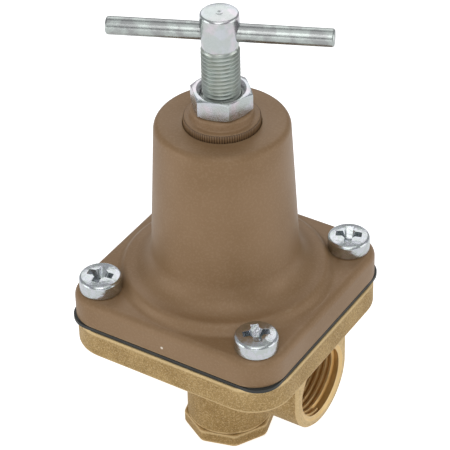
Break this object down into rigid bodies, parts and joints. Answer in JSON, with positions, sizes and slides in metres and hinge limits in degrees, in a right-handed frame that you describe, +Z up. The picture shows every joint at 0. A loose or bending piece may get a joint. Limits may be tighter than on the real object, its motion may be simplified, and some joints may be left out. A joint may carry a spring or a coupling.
{
  "type": "water pressure regulator",
  "caption": "Direct-acting water pressure regulator with T-handle screw, bell spring cage and two threaded ports.",
  "frame": {"origin": "on the main axis, under the bottom plug", "axes": "+Z up along the adjusting screw; +X out through the outlet port; the inlet port faces -X"},
  "size_m": [0.0718, 0.0718, 0.149],
  "materials": {
    "cast_brass": "fine-grained cast skin with machined faces",
    "turned_brass": "turned",
    "bonnet_paint": "semi-matt tan paint on a casting",
    "zinc_plate": "bright zinc plate",
    "plain_steel": "plain steel",
    "black_rubber": "black rubber sheet"
  },
  "bodies": {
    "regulator_body": {"valve_body": "cast_brass", "bottom_plug": "cast_brass", "plug_oring": "black_rubber", "strainer_screen": "plain_steel", "seat_ring": "turned_brass", "valve_spring": "plain_steel", "diaphragm": "black_rubber", "bonnet": "bonnet_paint", "bonnet_insert": "bonnet_paint", "cover_screw_1": "zinc_plate", "cover_screw_2": "zinc_plate", "cover_screw_3": "zinc_plate", "cover_screw_4": "zinc_plate"},
    "button_body": {"spring_button": "plain_steel"},
    "handle_body": {"adjusting_screw": "zinc_plate", "t_bar": "zinc_plate"},
    "nut_body": {"lock_nut": "zinc_plate"},
    "diaphragm_body": {"pressure_plate": "plain_steel", "pusher_plate": "turned_brass", "diaphragm_bolt": "plain_steel", "diaphragm_nut": "plain_steel", "range_spring": "plain_steel"},
    "disc_body": {"valve_stem": "plain_steel", "disc_holder": "turned_brass", "seat_disc": "black_rubber", "stem_nut": "plain_steel"}
  },
  "joints": [
    {"name": "button_slide", "type": "slide", "parent": "regulator_body", "child": "button_body", "axis": [0, 0, 1], "range_m": [-0.0051, 0.00256], "deforming": ["range_spring"]},
    {"name": "screw_turn", "type": "hinge", "parent": "button_body", "child": "handle_body", "pos_m": [0, 0, 0.1428], "axis": [0, 0, 1], "range_deg": [-1440, 720]},
    {"name": "nut_turn", "type": "hinge", "parent": "regulator_body", "child": "nut_body", "pos_m": [0, 0, 0.1211], "axis": [0, 0, 1], "range_deg": [0, 180]},
    {"name": "diaphragm_travel", "type": "slide", "parent": "regulator_body", "child": "diaphragm_body", "axis": [0, 0, 1], "range_m": [0, 0.00145], "deforming": ["diaphragm"]},
    {"name": "disc_travel", "type": "slide", "parent": "regulator_body", "child": "disc_body", "axis": [0, 0, 1], "range_m": [0, 0.00145], "deforming": ["valve_spring"]}
  ],
  "couplings": [
    {"joint": "button_slide", "follows": "screw_turn", "m_per_rad": 0.00020213},
    {"joint": "disc_travel", "follows": "diaphragm_travel", "ratio": 1}
  ]
}
